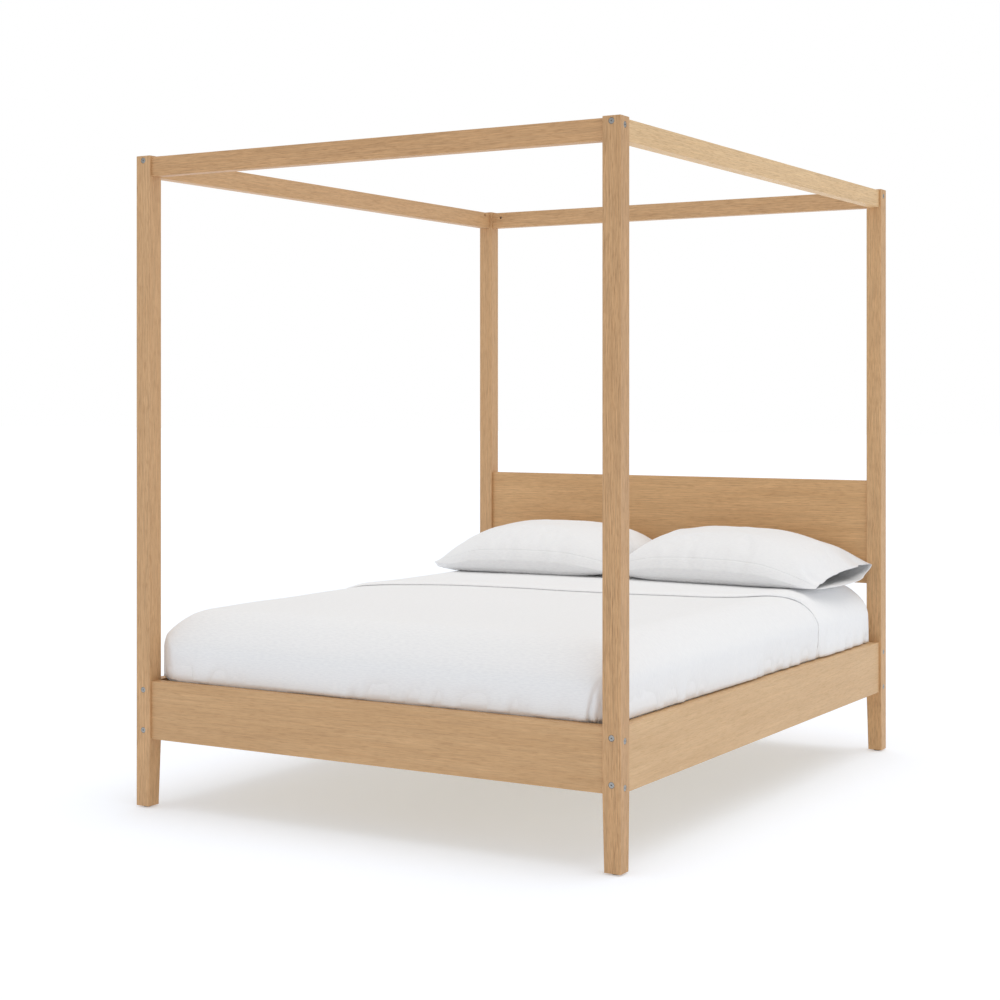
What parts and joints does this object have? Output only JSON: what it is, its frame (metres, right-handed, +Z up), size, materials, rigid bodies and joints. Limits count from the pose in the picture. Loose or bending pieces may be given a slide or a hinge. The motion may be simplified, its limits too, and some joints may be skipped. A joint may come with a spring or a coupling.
{
  "type": "four poster canopy bed",
  "caption": "Four poster bed: square oak posts with tapered legs, a square rail canopy, deep bed rails, a panel headboard, slatted base, mattress, tucked coverlet and pillows.",
  "frame": {"origin": "on the floor, at the middle of the frame's plan, between the four posts", "axes": "+X from the sleeper's left-hand side of the picture to its right as seen from the foot end, +Y from the foot end to the headboard, +Z up"},
  "size_m": [1.656, 2.16, 2.008],
  "materials": {
    "oak": "satin",
    "base_timber": "matte",
    "slat_pine": "matte",
    "beech": "matte",
    "bolt_steel": "satin",
    "screw_steel": "satin",
    "galvanised_steel": "satin",
    "insert_brass": "satin",
    "glide_plastic": "matte",
    "mattress_ticking": "matte",
    "sheet_cotton": "matte",
    "coverlet_cotton": "matte",
    "pillow_cotton": "matte"
  },
  "bodies": {
    "root": {"beam_hanger_foot": "galvanised_steel", "beam_hanger_head": "galvanised_steel", "bed_barrel_nuts": "bolt_steel", "bed_bolts": "bolt_steel", "canopy_barrel_nuts": "bolt_steel", "canopy_bolts": "bolt_steel", "canopy_rail_foot": "oak", "canopy_rail_head": "oak", "canopy_rail_left": "oak", "canopy_rail_right": "oak", "centre_beam": "base_timber", "centre_leg": "base_timber", "centre_leg_foot": "glide_plastic", "centre_leg_hanger_bolt": "bolt_steel", "centre_leg_insert": "insert_brass", "coverlet": "coverlet_cotton", "fitted_sheet": "sheet_cotton", "foot_rail": "oak", "glide_foot_left": "glide_plastic", "glide_foot_right": "glide_plastic", "glide_head_left": "glide_plastic", "glide_head_right": "glide_plastic", "hanger_screws": "screw_steel", "head_rail": "oak", "headboard_cleat_left": "base_timber", "headboard_cleat_right": "base_timber", "headboard_panel": "oak", "headboard_screws": "screw_steel", "ledger_screws": "screw_steel", "mattress": "mattress_ticking", "pillow_left": "pillow_cotton", "pillow_right": "pillow_cotton", "post_foot_left": "oak", "post_foot_right": "oak", "post_head_left": "oak", "post_head_right": "oak", "rail_dowels": "beech", "side_rail_left": "oak", "side_rail_right": "oak", "slat_01": "slat_pine", "slat_02": "slat_pine", "slat_03": "slat_pine", "slat_04": "slat_pine", "slat_05": "slat_pine", "slat_06": "slat_pine", "slat_07": "slat_pine", "slat_08": "slat_pine", "slat_09": "slat_pine", "slat_10": "slat_pine", "slat_11": "slat_pine", "slat_12": "slat_pine", "slat_13": "slat_pine", "slat_ledger_left": "base_timber", "slat_ledger_right": "base_timber", "slat_screws": "screw_steel", "top_sheet": "sheet_cotton"}
  },
  "joints": []
}
